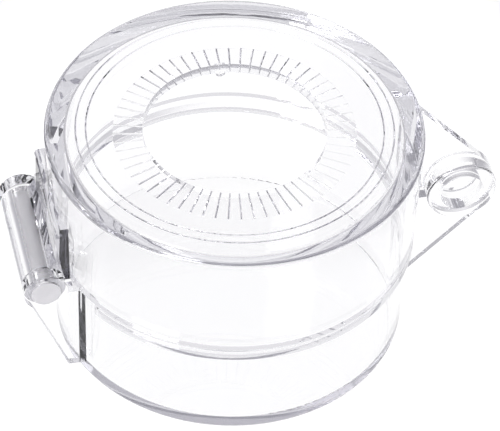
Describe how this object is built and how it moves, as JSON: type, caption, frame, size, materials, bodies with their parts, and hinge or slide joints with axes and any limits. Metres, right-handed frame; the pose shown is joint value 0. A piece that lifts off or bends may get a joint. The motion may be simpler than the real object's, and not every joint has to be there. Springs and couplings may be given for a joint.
{
  "type": "push button guard",
  "caption": "Clear round guard with a hinged cover, a panel hole and a padlock eye that stops a panel button being pressed or released.",
  "frame": {"origin": "centre of the hinged cover's flat outer face, on the axis of the round body", "axes": "+Z from the cover's outer face towards the panel face of the mounting base, +X towards the padlock eye, hinge axis along Y on the -X side"},
  "size_m": [0.0834, 0.063, 0.0409],
  "materials": {
    "clear_polycarbonate": "clear, high gloss",
    "pin_polycarbonate": "slightly milky, gloss"
  },
  "bodies": {
    "base": {"mounting_base": "clear_polycarbonate"},
    "cover": {"hinged_cover": "clear_polycarbonate", "hinge_pin": "pin_polycarbonate"}
  },
  "joints": [
    {"name": "cover_hinge", "type": "hinge", "parent": "base", "child": "cover", "pos_m": [-0.034, 0, 0.0206], "axis": [0, 1, 0], "range_deg": [0, 175]}
  ]
}
